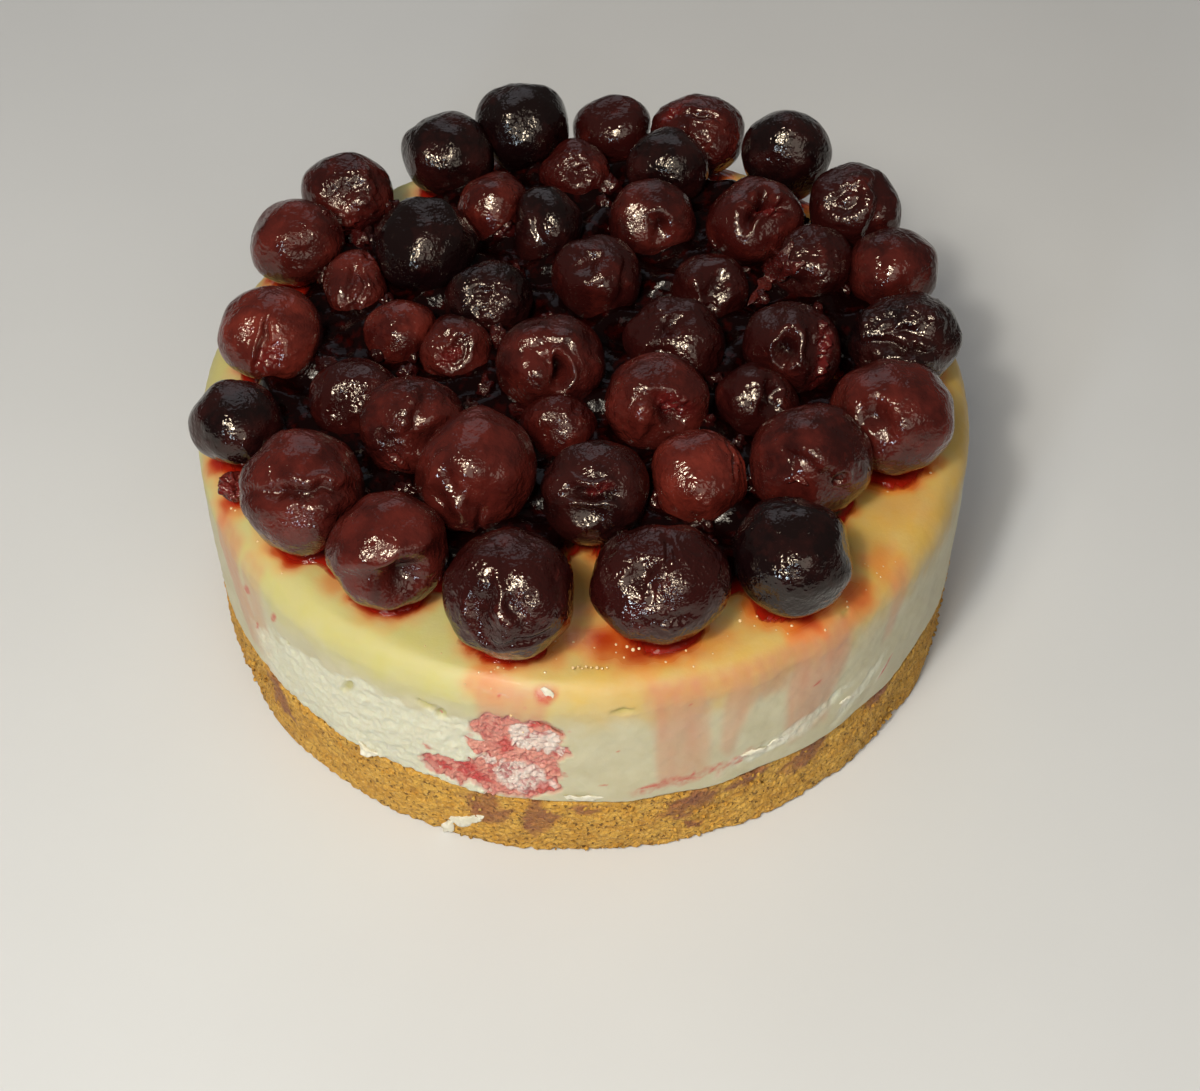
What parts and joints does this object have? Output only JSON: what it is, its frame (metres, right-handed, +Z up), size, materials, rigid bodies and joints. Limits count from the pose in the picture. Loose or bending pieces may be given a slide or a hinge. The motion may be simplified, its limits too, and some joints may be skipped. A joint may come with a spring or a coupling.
{
  "type": "cherry cheesecake",
  "caption": "Round uncut cheesecake with a crumb base, a set cream filling with rounded shoulders and a layer of soft dark cooked cherries heaped on top.",
  "frame": {"origin": "middle of the base's flat underside, where the cake rests", "axes": "+Z up through the middle of the cake; -Y is the front, where the side shows best; +X is to the right seen from the front"},
  "size_m": [0.1526, 0.1532, 0.072],
  "materials": {
    "biscuit": "dry golden brown crumb, fine and uneven, no gloss",
    "cream": "soft set cream, satin, glossy and yellower on top",
    "cherry_dark": "wet glossy skin, nearly black, finely wrinkled",
    "cherry_red": "wet glossy skin, dark wine red, finely wrinkled",
    "cherry_ruby": "wet glossy skin, brownish ruby red, finely wrinkled",
    "syrup": "thin clear red syrup, very glossy"
  },
  "bodies": {
    "root": {"base": "biscuit", "filling": "cream", "cherry_01": "cherry_dark", "cherry_02": "cherry_red", "cherry_03": "cherry_red", "cherry_04": "cherry_red", "cherry_05": "cherry_red", "cherry_06": "cherry_dark", "cherry_07": "cherry_red", "cherry_08": "cherry_red", "cherry_09": "cherry_ruby", "cherry_10": "cherry_dark", "cherry_11": "cherry_red", "cherry_12": "cherry_red", "cherry_13": "cherry_ruby", "cherry_14": "cherry_red", "cherry_15": "cherry_red", "cherry_16": "cherry_ruby", "cherry_17": "cherry_red", "cherry_18": "cherry_red", "cherry_19": "cherry_ruby", "cherry_20": "cherry_red", "cherry_21": "cherry_red", "cherry_22": "cherry_red", "cherry_23": "cherry_dark", "cherry_24": "cherry_dark", "cherry_25": "cherry_dark", "cherry_26": "cherry_ruby", "cherry_27": "cherry_dark", "cherry_28": "cherry_dark", "cherry_29": "cherry_ruby", "cherry_30": "cherry_red", "cherry_31": "cherry_ruby", "cherry_32": "cherry_dark", "cherry_33": "cherry_dark", "cherry_34": "cherry_red", "cherry_35": "cherry_ruby", "cherry_36": "cherry_red", "cherry_37": "cherry_red", "cherry_38": "cherry_red", "cherry_39": "cherry_red", "cherry_40": "cherry_red", "cherry_41": "cherry_red", "cherry_42": "cherry_red", "cherry_43": "cherry_dark", "cherry_44": "cherry_red", "cherry_45": "cherry_ruby"}
  },
  "joints": []
}
